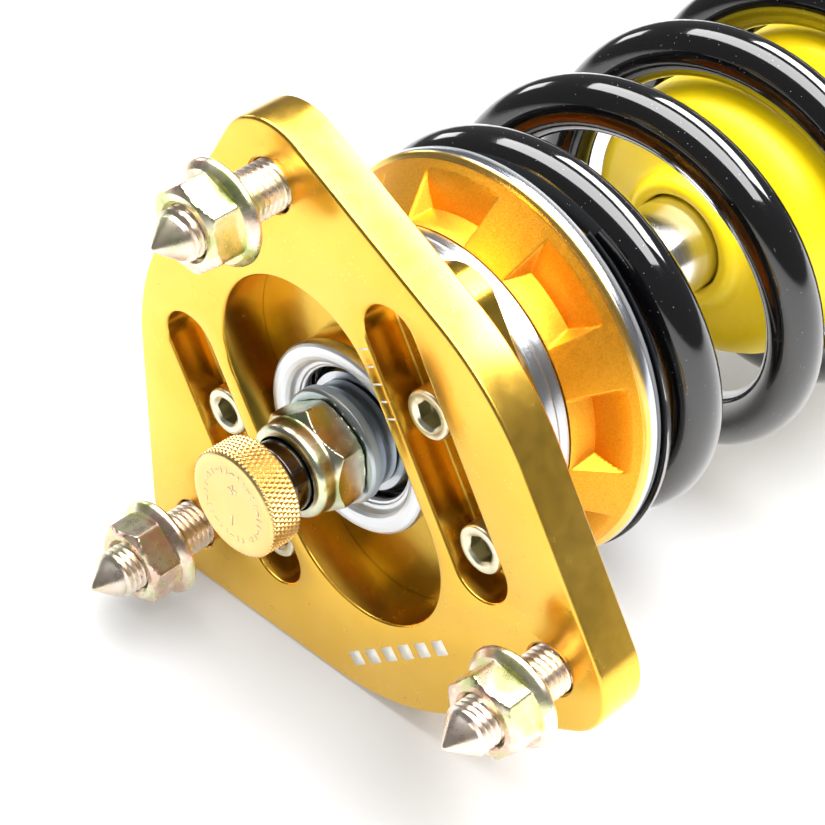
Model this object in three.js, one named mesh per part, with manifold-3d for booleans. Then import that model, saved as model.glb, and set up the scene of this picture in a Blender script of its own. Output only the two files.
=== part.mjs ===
// Coilover suspension strut with a pillow-ball camber plate, lying on its side.
// Millimetres. +X runs along the strut from the top mount to the lower bracket, +Z is up.
import * as THREE from 'three';
import Module from 'manifold-3d';

const wasm = await Module();
wasm.setup();
const { Manifold, Mesh } = wasm;

// ---- sizes -------------------------------------------------------------------------------
// Stations along the strut are measured from the outer face of the top plate.
const PLATE = { t: 10, ro: 52, rc: 12.65, rb: 55.3, turn: 75.5, dx: -0.4, chamfer: 0.8 };
const SLOT = { x: 30, y: 2, len: 44.4, r: 6.4, thru: 3.5, ledge: 7.9, chamfer: 0.6 };
const HOLE = { y: 1.9, len: 30.3, r: 20.1, chamfer: 0.6 };
const BEARING = { y: 2.5, at: 15, ballR: 14, raceR: 17 };
const SCREW = { y: -3.9, pitch: 26, headR: 4.9, headH: 6, top: 1.6 };
const STUD = { r: 4.85, tip: 26.4, headR: 7, headFrom: 8 };
const NUT = { af: 15, h: 6.6, flangeR: 10, flangeH: 2.2 };
const NUT_AT = [10.5, 8.5, 8.5];
const REST_TILT = { x: -0.034, y: 0.010 };
const REST_ROLL = 60;
const ROD = { r: 10, endR: 7, shoulder: 24, bore: 2.2 };
const SEAT_R = 41.4;
const SEAT_POCKETS = { count: 8, turn: 36.5, spread: 12.5 };
const SPRING = { from: 43.8, to: 233.8, mean: 36.5, wire: 5.5, turns: 7.8, tip: 118 };
const TUBE = { from: 200, to: 404, inner: 21.2, outer: 25.5 };
const PERCH_AT = 234.2;
const BRACKET = { from: 330, to: 430, r: 30, cheekIn: 13, cheekOut: 18.5, holeR: 6.2, pad: 1, padH: 22 };

const SEG = { big: 30, mid: 20, small: 12 };
const RAD = Math.PI / 180;

// ---- materials ---------------------------------------------------------------------------
const finish = (color, metalness, roughness) =>
  new THREE.MeshStandardMaterial({ color, metalness, roughness });
const MAT = {
  gold: finish(0xd9a520, 1, 0.35),
  orange: finish(0xe08a1c, 1, 0.5),
  zinc: finish(0xb9b48a, 1, 0.35),
  steel: finish(0xb8bcc2, 1, 0.3),
  chrome: finish(0xdfe2e6, 1, 0.08),
  dark: finish(0x45474c, 1, 0.4),
  black: finish(0x0c0c0d, 0, 0.15),
  yellow: finish(0xf2d90f, 0, 0.45),
  rubber: finish(0x2a2a2c, 0, 0.8),
  bronze: finish(0x9a6b35, 1, 0.45),
};

// ---- geometry helpers --------------------------------------------------------------------
function welded(geometry) {
  const pos = geometry.attributes.position;
  const index = geometry.index ? geometry.index.array : [...Array(pos.count).keys()];
  const seen = new Map();
  const verts = [];
  const tris = [];
  const idOf = (i) => {
    const p = [pos.getX(i), pos.getY(i), pos.getZ(i)];
    const key = p.map((v) => Math.round(v * 1e4)).join();
    if (!seen.has(key)) {
      seen.set(key, verts.length / 3);
      verts.push(...p);
    }
    return seen.get(key);
  };
  for (let i = 0; i < index.length; i += 3) {
    const [a, b, c] = [idOf(index[i]), idOf(index[i + 1]), idOf(index[i + 2])];
    if (a !== b && b !== c && c !== a) tris.push(a, b, c);
  }
  return { verts, tris };
}

const solid = (geometry) => {
  const { verts, tris } = welded(geometry);
  return new Manifold(new Mesh({
    numProp: 3,
    vertProperties: new Float32Array(verts),
    triVerts: new Uint32Array(tris),
  }));
};

function shell(manifold) {
  const mesh = manifold.getMesh();
  const geometry = new THREE.BufferGeometry();
  geometry.setAttribute('position', new THREE.BufferAttribute(mesh.vertProperties, 3));
  geometry.setIndex(new THREE.BufferAttribute(mesh.triVerts, 1));
  return geometry;
}

const join = (...geometries) => shell(Manifold.union(geometries.map(solid)));
const cut = (geometry, ...tools) => shell(solid(geometry).subtract(Manifold.union(tools.map(solid))));

// Solid of revolution about X; outline is a closed list of [station, radius].
function turned(outline, seg = SEG.mid) {
  const verts = [];
  const ids = outline.map(([a, r]) => {
    const first = verts.length / 3;
    const count = r === 0 ? 1 : seg;
    for (let k = 0; k < count; k++) {
      const t = (2 * Math.PI * k) / seg;
      verts.push(a, r * Math.cos(t), r * Math.sin(t));
    }
    return (k) => (r === 0 ? first : first + (k % seg));
  });
  const tris = [];
  let area = 0;
  outline.forEach(([a0, r0], i) => {
    const j = (i + 1) % outline.length;
    const [a1, r1] = outline[j];
    area += a0 * r1 - a1 * r0;
    if (r0 === 0 && r1 === 0) return;
    for (let k = 0; k < seg; k++) {
      const q = [ids[i](k), ids[j](k), ids[j](k + 1), ids[i](k + 1)];
      if (r1 !== 0) tris.push([q[0], q[1], q[2]]);
      if (r0 !== 0) tris.push([q[0], q[2], q[3]]);
    }
  });
  const flat = tris.filter(([a, b, c]) => a !== b && b !== c && c !== a)
    .flatMap(([a, b, c]) => (area > 0 ? [a, b, c] : [a, c, b]));
  const geometry = new THREE.BufferGeometry();
  geometry.setAttribute('position', new THREE.Float32BufferAttribute(verts, 3));
  geometry.setIndex(flat);
  return geometry;
}

const ring = (a0, a1, inner, outer, seg = SEG.mid) =>
  turned([[a0, inner], [a0, outer], [a1, outer], [a1, inner]], seg);
const disc = (a0, a1, r, seg = SEG.mid) => turned([[a0, 0], [a0, r], [a1, r], [a1, 0]], seg);

// Shape pushed along +Z from z0 to z1.
function pushed(shape, z0, z1, curveSegments = 10, bevel = 0) {
  const geometry = new THREE.ExtrudeGeometry(shape, {
    depth: z1 - z0 - 2 * bevel,
    bevelEnabled: bevel > 0,
    bevelThickness: bevel,
    bevelSize: bevel,
    bevelOffset: -bevel,
    bevelSegments: 1,
    curveSegments,
  });
  return geometry.translate(0, 0, z0 + bevel);
}

const polygon = (points) => new THREE.Shape(points.map(([x, y]) => new THREE.Vector2(x, y)));
const circle = (x, y, r, seg = SEG.small) =>
  polygon([...Array(seg).keys()].map((k) => {
    const t = (2 * Math.PI * k) / seg;
    return [x + r * Math.cos(t), y + r * Math.sin(t)];
  }));
const hexagon = (af, turn = 0) =>
  polygon([...Array(6).keys()].map((k) => {
    const t = (turn + 60 * k) * RAD;
    return [(af / Math.sqrt(3)) * Math.cos(t), (af / Math.sqrt(3)) * Math.sin(t)];
  }));
// Slot with round ends, long axis along y.
function slotShape(x, y, len, r, seg = 10) {
  const points = [];
  for (const end of [1, -1]) {
    for (let k = 0; k <= seg; k++) {
      const t = (Math.PI * k) / seg;
      points.push([x + end * r * Math.cos(t), y + end * (len / 2 + r * Math.sin(t))]);
    }
  }
  return polygon(points);
}
const alongX = (geometry) => geometry.rotateY(Math.PI / 2);
// Slot tool that opens out at both faces, for an edge chamfer.
const flared = (x, y, len, r, z0, z1, chamfer) => join(
  pushed(slotShape(x, y, len, r), z0 - 1, z1 + 1),
  pushed(slotShape(x, y, len, r + 2 * chamfer), z1 - chamfer, z1 + chamfer, 10, chamfer),
);

// ---- placing -----------------------------------------------------------------------------
const group = new THREE.Group();
function put(name, geometry, material) {
  const { verts, tris } = welded(geometry);
  const clean = new THREE.BufferGeometry();
  clean.setAttribute('position', new THREE.Float32BufferAttribute(verts, 3));
  clean.setIndex(tris);
  clean.computeVertexNormals();
  const mesh = new THREE.Mesh(clean, material);
  mesh.name = name;
  group.add(mesh);
  return mesh;
}
// Strut pieces: stations from the plate's outer face, the strut's axis at y = z = 0.
const strut = (name, geometry, material) =>
  put(name, geometry.translate(-BEARING.at, 0, 0), material);

// Top-mount pieces: x across the slots, y along them, z outward from the plate's outer face.
// They pivot about the ball, lean by the rest tilt, and are rolled so one straight edge is down.
const mountFrame = new THREE.Matrix4();
{
  const c = Math.cos(REST_ROLL * RAD);
  const s = Math.sin(REST_ROLL * RAD);
  const roll = new THREE.Matrix4().set(0, 0, -1, 0, -s, c, 0, 0, c, s, 0, 0, 0, 0, 0, 1);
  const lean = new THREE.Matrix4().makeRotationX(-REST_TILT.x)
    .multiply(new THREE.Matrix4().makeRotationY(-REST_TILT.y));
  mountFrame.multiply(roll).multiply(lean)
    .multiply(new THREE.Matrix4().makeTranslation(0, -BEARING.y, BEARING.at));
}
const mount = (name, geometry, material) =>
  put(name, geometry.applyMatrix4(mountFrame), material);
// A piece turned about X, stood on the plate at (x, y); stations run inward from the outer face.
const onPlate = (geometry, x, y) => geometry.rotateY(Math.PI / 2).translate(x, y, 0);

// ---- top plate, studs and nuts -----------------------------------------------------------
const studAt = [0, 1, 2].map((k) => {
  const t = (PLATE.turn + 120 * k) * RAD;
  return [PLATE.dx + PLATE.rb * Math.cos(t), PLATE.rb * Math.sin(t)];
});
{
  const spread = Math.acos((PLATE.ro - PLATE.rc) / PLATE.rb);
  const points = [];
  for (let k = 0; k < 3; k++) {
    const t = (PLATE.turn + 120 * k) * RAD;
    for (let i = 0; i <= 8; i++) {
      const u = t - spread + (2 * spread * i) / 8;
      points.push([studAt[k][0] + PLATE.rc * Math.cos(u), studAt[k][1] + PLATE.rc * Math.sin(u)]);
    }
    for (let i = 0; i <= 6; i++) {
      const u = t + spread + ((120 * RAD - 2 * spread) * i) / 6;
      points.push([PLATE.dx + PLATE.ro * Math.cos(u), PLATE.ro * Math.sin(u)]);
    }
  }
  const slots = [-1, 1].flatMap((side) => [
    pushed(slotShape(side * SLOT.x, SLOT.y, SLOT.len, SLOT.thru), -PLATE.t - 1, 1),
    flared(side * SLOT.x, SLOT.y, SLOT.len, SLOT.r, -SLOT.ledge + 1, 0, SLOT.chamfer),
  ]);
  const holes = studAt.flatMap(([x, y]) => [
    pushed(circle(x, y, STUD.r + 0.3), -PLATE.t - 1, 1),
    pushed(circle(x, y, STUD.headR + 0.3), -PLATE.t - 1, 0.3 - STUD.headFrom),
  ]);
  mount('top_plate', cut(
    pushed(polygon(points), -PLATE.t, 0, 10, PLATE.chamfer),
    flared(0, HOLE.y, HOLE.len, HOLE.r, -PLATE.t, 0, HOLE.chamfer),
    ...slots,
    ...holes,
  ), MAT.gold);
}
studAt.forEach(([x, y], k) => {
  const tip = -STUD.tip;
  mount(`stud_${k + 1}`, onPlate(turned([
    [tip, 0], [tip + 5.2, 3.9], [tip + 7, 3.9], [tip + 7.6, STUD.r], [STUD.headFrom, STUD.r],
    [STUD.headFrom, STUD.headR], [PLATE.t - 0.1, STUD.headR], [PLATE.t - 0.1, 0],
  ], SEG.small), x, y), MAT.zinc);
  const z = NUT_AT[k];
  const hex = pushed(hexagon(NUT.af, 20 + 25 * k), z + 1, z + NUT.flangeH + NUT.h).translate(x, y, 0);
  const flange = onPlate(turned([
    [-z, 0], [-z, NUT.flangeR], [-z - 0.9, NUT.flangeR], [-z - NUT.flangeH - 0.6, 7.4], [-z - 3, 0],
  ], SEG.mid), x, y);
  mount(`flange_nut_${k + 1}`, cut(
    join(hex, flange), pushed(circle(x, y, STUD.r + 0.3), z - 1, z + 20),
  ), MAT.zinc);
});

// ---- bearing carrier, clamped through the slots -------------------------------------------
const screwAt = [[1, 1], [1, -1], [-1, 1], [-1, -1]].map(([i, j]) =>
  [i * SLOT.x, SCREW.y + (j * SCREW.pitch) / 2]);
{
  const w = 36;
  const [low, high, corner] = [-27, 30, 8];
  const points = [];
  [[w, high, 0], [-w, high, 90], [-w, low, 180], [w, low, 270]].forEach(([x, y, from]) => {
    for (let i = 0; i <= 4; i++) {
      const t = (from + 22.5 * i) * RAD;
      points.push([x - Math.sign(x) * corner + corner * Math.cos(t),
        y - Math.sign(y) * corner + corner * Math.sin(t)]);
    }
  });
  const block = join(
    pushed(polygon(points), -PLATE.t - 10.3, -PLATE.t - 0.3),
    pushed(slotShape(0, HOLE.y, HOLE.len, HOLE.r + 2.2), -PLATE.t - 10.3, -PLATE.t - 0.3),
  );
  const at = (geometry) => onPlate(geometry, 0, BEARING.y);
  mount('bearing_carrier', cut(
    join(block, at(disc(7.2, 12, 19.2, SEG.big))),
    at(disc(5, 19.7, BEARING.raceR + 0.3, SEG.big)),
    at(disc(5, 25, 15.8, SEG.big)),
    at(disc(8.9, 10.3, 18.4, SEG.big)),
    ...screwAt.map(([x, y]) => pushed(circle(x, y, 3.2), -30, 0)),
  ), MAT.orange);
  mount('retainer_dish', at(turned([
    [6.9, 19.3], [4.6, 19.3], [4.2, 18.7], [4.2, 17.4], [4.9, 16.2], [7.4, 14.9], [8.2, 14.3],
    [8.5, 14.9], [7.9, 15.7], [5.8, 16.9], [5.4, 17.8], [6.9, 18.3],
  ], SEG.big)), MAT.steel);
  const clip = polygon([...Array(29).keys()].map((k) => {
    const t = (15 + 330 * (k < 15 ? k / 14 : (28 - k) / 14 + 0)) * RAD;
    const r = k < 15 ? 18.1 : 15.2;
    return [r * Math.cos(t), r * Math.sin(t)];
  }).slice(0, 29));
  mount('circlip', pushed(clip, -10.1, -9.1).translate(0, BEARING.y, 0), MAT.dark);
  const bowl = [...Array(7).keys()].map((i) => {
    const a = -4.4 + (8.8 * i) / 6;
    return [BEARING.at + a, Math.sqrt((BEARING.ballR + 0.3) ** 2 - a * a)];
  });
  mount('ball_race', at(turned([
    [BEARING.at + 4.4, BEARING.raceR], [BEARING.at - 4.4, BEARING.raceR], ...bowl,
  ], SEG.big)), MAT.steel);
}
screwAt.forEach(([x, y], k) => {
  const top = SCREW.top;
  mount(`clamp_screw_${k + 1}`, cut(
    onPlate(turned([
      [top, 0], [top, SCREW.headR - 0.5], [top + 0.5, SCREW.headR], [top + SCREW.headH, SCREW.headR],
      [top + SCREW.headH, 2.9], [PLATE.t + 9.5, 2.9], [PLATE.t + 9.5, 0],
    ], SEG.small), x, y),
    pushed(hexagon(5, 10 * k), -top - 3, 1).translate(x, y, 0),
  ), MAT.zinc);
});

// ---- ball, rod and what is fixed to the rod ------------------------------------------------
{
  const half = 7.5;
  const ball = [...Array(9).keys()].map((i) => {
    const a = -half + (2 * half * i) / 8;
    return [BEARING.at + a, Math.sqrt(BEARING.ballR ** 2 - a * a)];
  });
  strut('pillow_ball', turned([
    [BEARING.at - half, ROD.endR + 0.3], ...ball, [BEARING.at + half, ROD.endR + 0.3],
  ]), MAT.chrome);
}
strut('piston_rod', turned([
  [-14.6, ROD.bore], [-14.6, 6.2], [-14, ROD.endR], [ROD.shoulder, ROD.endR],
  [ROD.shoulder, ROD.r], [242, ROD.r], [242, 6], [264, 6], [264, ROD.bore],
], SEG.mid), MAT.chrome);
strut('top_nut', cut(
  join(
    alongX(pushed(hexagon(19, 20), 0, 6.2)).translate(-6.2, 0, 0),
    turned([[-10.3, 0], [-10.3, 8.6], [-9.6, 9.3], [-7, 9.3], [-5.6, 10.2], [-5.2, 10.2], [-5.2, 0]]),
  ),
  disc(-12, 2, ROD.endR + 0.3),
), MAT.zinc);
strut('upper_spacer', turned([
  [0.3, ROD.endR + 0.3], [0.3, 12.2], [0.8, 12.7], [2.6, 12.7], [3, 12.2], [4.4, 10.4],
  [7.2, 10.4], [7.2, ROD.endR + 0.3],
]), MAT.steel);
strut('lower_washer', ring(22.8, 23.7, ROD.endR + 0.3, 12.5), MAT.steel);
strut('adjuster_knob', turned([
  [-23.05, 0], [-23.05, 10.1], [-22.6, 10.55], [-16.3, 10.55], [-15.85, 10.1],
  [-15.85, 2.5], [-20.2, 2.5], [-20.2, 0],
], SEG.big), MAT.gold);
strut('adjuster_needle', turned([
  [-16.9, 0], [-16.9, 1.9], [262, 1.9], [266, 0.6], [266, 0],
], SEG.small), MAT.dark);

// ---- thrust bearing and upper spring seat ---------------------------------------------------
strut('thrust_housing', turned([
  [24, ROD.r + 0.3], [24, 30.9], [24.6, 31.5], [30.8, 31.5], [30.8, 29.3], [27.2, 29.3],
  [27.2, ROD.r + 0.3],
], SEG.big), MAT.steel);
{
  const rollers = [...Array(12).keys()].map((k) =>
    disc(-3.4, 3.4, 0.95, 8).rotateZ(Math.PI / 2).translate(28.5, 23.6, 0).rotateX(30 * k * RAD));
  strut('thrust_cage', join(ring(28, 29, 19.2, 28.4), ...rollers), MAT.bronze);
}
strut('thrust_race', ring(29.8, 31.4, 18, 28.8), MAT.steel);
{
  const blank = turned([
    [31.8, 11.5], [31.8, 31.6], [38.8, 39.2], [39.2, 39.6], [39.2, 41], [39.6, SEAT_R],
    [42, SEAT_R], [42.2, 41.1], [42.2, 31], [43, 30.4], [52, 30.2], [52, 27.4], [42, 27.4],
    [36.5, 23], [36.5, 11.5],
  ], SEG.big);
  const toStrut = new THREE.Matrix4().set(0, 0, 1, 0, 1, 0, 0, 0, 0, 1, 0, 0, 0, 0, 0, 1);
  const lean = Math.tan(SEAT_POCKETS.spread * RAD);
  const pocket = polygon([[32, -32 * lean], [38.2, -38.2 * lean], [38.2, 38.2 * lean], [32, 32 * lean]]);
  const pockets = [...Array(SEAT_POCKETS.count).keys()].map((k) =>
    pushed(pocket, 20, 37.4).applyMatrix4(toStrut)
      .rotateX((SEAT_POCKETS.turn + (360 / SEAT_POCKETS.count) * k) * RAD));
  strut('upper_seat', cut(blank, ...pockets), MAT.orange);
}
strut('seat_isolator', ring(42.5, 43.4, 31.6, 41, SEG.big), MAT.rubber);

// ---- spring, dust boot and bump stop -----------------------------------------------------
{
  const perTurn = 18;
  const sides = 8;
  const steps = Math.round(SPRING.turns * perTurn);
  const dead = 2 * SPRING.wire + 0.35;
  // Station of the wire's centre after t turns: closed end turns, open ones between them.
  const start = SPRING.from + SPRING.wire - dead * 0.72;
  const end = SPRING.to - SPRING.wire + dead * 0.72;
  const closed = 0.85;
  const open = (end - start - 2 * closed * dead) / (SPRING.turns - 2 * closed);
  const ease = 0.3;
  const rise = (t) => {
    // Integral of a pitch that eases from the closed to the open value over `ease` turns.
    const lead = (u) => (u <= 0 ? 0 : u < ease ? (u * u) / (2 * ease) : u - ease / 2);
    const gain = (open - dead) * ((SPRING.turns - 2 * closed) / (SPRING.turns - 2 * closed - ease));
    return dead * t + gain * (lead(t - closed) - lead(t - (SPRING.turns - closed - ease)));
  };
  const verts = [];
  const tris = [];
  for (let i = 0; i <= steps; i++) {
    const t = (SPRING.turns * i) / steps;
    const turn = (SPRING.tip + 360 * t) * RAD;
    for (let k = 0; k < sides; k++) {
      const u = (2 * Math.PI * k) / sides;
      const r = SPRING.mean + SPRING.wire * Math.cos(u);
      verts.push(start + rise(t) + SPRING.wire * Math.sin(u), r * Math.cos(turn), r * Math.sin(turn));
    }
    if (i === 0) continue;
    for (let k = 0; k < sides; k++) {
      const [a, b] = [(i - 1) * sides + k, (i - 1) * sides + ((k + 1) % sides)];
      tris.push(a, b + sides, b, a, a + sides, b + sides);
    }
  }
  for (let k = 1; k < sides - 1; k++) {
    const z = steps * sides;
    tris.push(0, k, k + 1, z, z + k + 1, z + k);
  }
  const coil = new THREE.BufferGeometry();
  coil.setAttribute('position', new THREE.Float32BufferAttribute(verts, 3));
  coil.setIndex(tris);
  const wire = solid(coil);
  const keep = solid(disc(SPRING.from, SPRING.to, 60, SEG.small));
  strut('coil_spring', shell(wire.intersect(keep)), MAT.black);
}
{
  const outer = [[95, 11.2], [95.8, 12.2], [99.2, 14], [100, 21], [103.5, 26.8], [110, 29.4], [118, 29.4],
    [125, 26], [129, 22.5], [133, 26], [140, 29.4], [148, 29.4], [155, 26], [159, 22.5], [163, 26],
    [170, 29.2], [180, 28.6], [186, 27.6], [204, 27.6]];
  const inner = outer.slice(2, -2).map(([a, r]) => [a + 0.6, r - 1.7]).reverse();
  strut('dust_boot', turned([
    [95, 10.3], ...outer, [204, 25.9], [186, 25.9], ...inner, [98, 10.3],
  ], SEG.mid), MAT.yellow);
}
strut('bump_stop', turned([
  [151, 10.4], [151, 15], [157, 17.5], [161, 15.5], [165, 18.5], [171, 20.5], [176, 18], [181, 21.5],
  [194, 21.5], [194, 10.4],
], SEG.mid), MAT.yellow);

// ---- piston, on the rod's lower end --------------------------------------------------------
strut('rebound_stop', ring(236, 240, ROD.r + 0.3, 15), MAT.rubber);
{
  const body = turned([
    [243, 6.3], [243, 20.8], [245.2, 20.8], [245.2, 18.6], [250.8, 18.6], [250.8, 20.8],
    [253, 20.8], [253, 6.3],
  ], SEG.big);
  const ports = [...Array(6).keys()].map((k) =>
    disc(240, 256, 1.7, 8).translate(0, 11.5, 0).rotateX(60 * k * RAD));
  strut('piston', cut(body, ...ports), MAT.steel);
}
strut('piston_band', ring(245.5, 250.5, 18.9, 20.9, SEG.big), MAT.rubber);
strut('shim_stack', turned([
  [253.3, 6.3], [253.3, 15], [254.2, 15], [254.2, 12], [255.4, 12], [255.4, 9], [256.6, 9], [256.6, 6.3],
]), MAT.steel);
strut('piston_nut', cut(
  alongX(pushed(hexagon(17), 0, 6.5)).translate(256.9, 0, 0), disc(250, 270, 6.3),
), MAT.zinc);

// ---- damper body ---------------------------------------------------------------------------
strut('damper_tube', turned([
  [TUBE.from, TUBE.inner], [TUBE.from, TUBE.outer - 0.8], [TUBE.from + 0.8, TUBE.outer],
  [TUBE.to - 0.8, TUBE.outer], [TUBE.to, TUBE.outer - 0.8], [TUBE.to, TUBE.inner],
], SEG.big), MAT.steel);
strut('gland_nut', turned([
  [195.5, 14], [195.5, 24], [196.3, 24.8], [199.7, 24.8], [199.7, 20.9], [208, 20.9], [208, 14.5],
  [197, 14.5],
], SEG.big), MAT.dark);
strut('wiper_seal', turned([
  [196.8, 10.3], [196.8, 13.7], [207.7, 14.2], [207.7, 10.9], [202, 11.6], [198.5, 10.9],
]), MAT.rubber);
strut('rod_guide', ring(208.4, 226, ROD.r + 0.1, 20.9, SEG.big), MAT.bronze);
{
  strut('floating_piston', turned([
    [352, 0], [352, 20.8], [356.5, 20.8], [356.5, 18.4], [361.5, 18.4], [361.5, 20.8], [366, 20.8],
    [366, 15], [358, 13], [358, 0],
  ], SEG.big), MAT.steel);
}
strut('floating_seal', turned([
  [357, 18.7], [357, 20.2], [358, 20.95], [360, 20.95], [361, 20.2], [361, 18.7],
], SEG.big), MAT.rubber);
strut('base_cap', turned([
  [396, 0], [396, 20.9], [404.3, 20.9], [404.3, 24.5], [407.5, 24.5], [407.5, 0],
], SEG.big), MAT.steel);

// ---- lower spring perch and lock rings -----------------------------------------------------
const notches = (a0, a1, r, count) => [...Array(count).keys()].map((k) =>
  new THREE.BoxGeometry(a1 - a0, 6, 7).translate((a0 + a1) / 2, 0, r).rotateX((360 / count) * k * RAD));
const BORE = TUBE.outer + 0.3;
strut('lower_perch', cut(turned([
  [228, BORE], [228, 29.8], [229, 30.4], [PERCH_AT, 30.4], [PERCH_AT, 42.6], [235, 43.4],
  [238.2, 43.4], [239.4, 42.4], [239.4, 34], [248, 34], [248, BORE],
], SEG.big), ...notches(240.5, 249, 34.5, 6)), MAT.gold);
strut('perch_lock_ring', cut(ring(248.5, 257.5, BORE, 34, SEG.big), ...notches(248, 258, 34.5, 6)), MAT.gold);
strut('bracket_lock_ring', cut(ring(319, 328, BORE, 34, SEG.big), ...notches(318, 329, 34.5, 6)), MAT.gold);

// ---- lower bracket: two cheeks that take the hub carrier -------------------------------------
const lowest = (mesh) => new THREE.Box3().setFromObject(mesh).min.z;
const AXIS_HEIGHT = -lowest(group.children[0]);
{
  const { from, to, r, cheekIn, cheekOut, pad, padH } = BRACKET;
  const cheek = polygon([
    [from + 12, 8], [from + 12, -AXIS_HEIGHT + 16], [from + 18, -AXIS_HEIGHT],
    [to - 4, -AXIS_HEIGHT], [to, -AXIS_HEIGHT + 6], [to, 8],
  ]);
  const cheeks = [-1, 1].map((side) => {
    const y = side > 0 ? cheekIn : -cheekOut;
    return pushed(cheek, 0, cheekOut - cheekIn).rotateX(Math.PI / 2)
      .translate(0, y + (cheekOut - cheekIn), 0);
  });
  const pads = [-1, 1].map((side) => new THREE.BoxGeometry(to - from - 30, pad + 2, padH)
    .translate((from + to) / 2 + 6, side * (cheekIn - pad + (pad + 2) / 2), -AXIS_HEIGHT + padH / 2));
  const bolts = [from + 32, to - 22].map((a) =>
    disc(-30, 30, BRACKET.holeR, SEG.small).rotateZ(Math.PI / 2).translate(a, 0, -AXIS_HEIGHT + 14));
  strut('lower_bracket', cut(
    join(disc(from, to, r, SEG.big), ...cheeks, ...pads),
    disc(from - 5, to + 5, BORE, SEG.big),
    ...bolts,
  ), MAT.black);
}

// ---- stand it on the floor, centred -----------------------------------------------------------
const box = new THREE.Box3().setFromObject(group);
const shift = new THREE.Vector3(-(box.min.x + box.max.x) / 2, -(box.min.y + box.max.y) / 2, -box.min.z);
group.children.forEach((mesh) => mesh.geometry.translate(shift.x, shift.y, shift.z));

export default group;
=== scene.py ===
# Looks of the coilover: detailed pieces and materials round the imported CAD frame.
# Metres in the row frame; stations and radii inside the piece functions are in millimetres.
import math

import bmesh
import bpy
import numpy as np
from mathutils import Matrix, Vector
from mathutils.geometry import tessellate_polygon


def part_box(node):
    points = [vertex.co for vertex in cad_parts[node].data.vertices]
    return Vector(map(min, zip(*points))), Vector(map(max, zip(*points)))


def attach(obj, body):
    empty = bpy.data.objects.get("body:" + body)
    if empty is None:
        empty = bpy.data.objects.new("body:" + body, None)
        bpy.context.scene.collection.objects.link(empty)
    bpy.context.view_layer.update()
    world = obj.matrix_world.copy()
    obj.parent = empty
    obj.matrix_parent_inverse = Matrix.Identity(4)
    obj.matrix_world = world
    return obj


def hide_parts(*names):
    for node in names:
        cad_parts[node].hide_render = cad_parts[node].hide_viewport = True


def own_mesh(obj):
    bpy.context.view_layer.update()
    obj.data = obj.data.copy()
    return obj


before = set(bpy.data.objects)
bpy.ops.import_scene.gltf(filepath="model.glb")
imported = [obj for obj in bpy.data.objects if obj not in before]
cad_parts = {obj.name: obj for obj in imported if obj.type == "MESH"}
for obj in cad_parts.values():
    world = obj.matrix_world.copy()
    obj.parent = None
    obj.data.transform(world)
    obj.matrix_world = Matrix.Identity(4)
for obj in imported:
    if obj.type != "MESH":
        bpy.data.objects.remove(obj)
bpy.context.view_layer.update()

MM = 0.001
TAU = 2 * math.pi

# ---- the strut's own frames ------------------------------------------------------------------
# Stations run along +X from the plate's outer face; the ball centre is at station 15.
tube_low, tube_high = (Vector(v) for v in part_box("damper_tube"))
TUBE_START = 200.0
BALL_AT, BALL_R, BALL_HALF = 15.0, 14.0, 7.5
AXIS = (tube_low + tube_high) / 2
STRUT = Matrix.Translation((tube_low.x - TUBE_START * MM, AXIS.y, AXIS.z)) @ Matrix.Scale(MM, 4)

REST_ROLL, TILT_X, TILT_Y, BEARING_Y = math.radians(60), -0.034, 0.010, 2.5
roll = Matrix(((0, 0, -1), (-math.sin(REST_ROLL), math.cos(REST_ROLL), 0),
               (math.cos(REST_ROLL), math.sin(REST_ROLL), 0))).to_4x4()
lean = Matrix.Rotation(-TILT_X, 4, "X") @ Matrix.Rotation(-TILT_Y, 4, "Y")
ball = STRUT @ Vector((BALL_AT, 0, 0))
# Plate frame: x across the slots, y along them, z outward from the outer face.
PLATE = (Matrix.Translation(ball) @ roll @ lean
         @ Matrix.Translation(Vector((0, -BEARING_Y, BALL_AT)) * MM) @ Matrix.Scale(MM, 4))
# A piece turned about the plate's normal: stations run inward from the outer face.
INWARD = Matrix.Rotation(math.pi / 2, 4, "Y")

PLATE_T, PLATE_RO, PLATE_RC, PLATE_RB = 10.0, 52.0, 12.65, 55.3
PLATE_TURN, PLATE_DX = math.radians(75.5), -0.4
SLOT_X, SLOT_Y, SLOT_LEN = 30.0, 2.0, 44.4
SLOT_R, SLOT_THRU, LEDGE = 6.4, 3.5, 7.9
HOLE_Y, HOLE_LEN, HOLE_R = 1.9, 30.3, 20.1
STUDS = [(PLATE_DX + PLATE_RB * math.cos(PLATE_TURN + TAU * k / 3),
          PLATE_RB * math.sin(PLATE_TURN + TAU * k / 3)) for k in range(3)]
STUD_TIP, STUD_ROOT, STUD_CREST, STUD_PITCH = -26.4, 4.15, 4.88, 1.25
STUD_STEP = 2.1     # radians that each stud's thread is turned past the one before
HEAD_SEAT = 7.7     # station where the thread ends and the head's counterbore starts
NUT_ACROSS, NUT_TALL = 15, 8.8
NUT_HEIGHTS = (10.5, 8.5, 8.5)
NUT_TURNS = (20, 45, 70)
ROD_NUT_ACROSS, ROD_NUT_TURN = 19, 147.0
SCREW_Y, SCREW_HALF_PITCH, SOCKET_ACROSS, SOCKET_RING = -3.9, 13, 5.0, 2.9
SCREWS = [(i * SLOT_X, SCREW_Y + SCREW_HALF_PITCH * j) for i in (1, -1) for j in (1, -1)]
POCKETS, POCKET_TURN, POCKET_HALF = 8, math.radians(36.5), math.radians(13.4)
BORE_R = 25.8       # of the perch, the rings and the bracket, round the body's thread


# ---- mesh building ---------------------------------------------------------------------------
def linked(name, data):
    obj = bpy.data.objects.new(name, data)
    bpy.context.scene.collection.objects.link(obj)
    return obj


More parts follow.
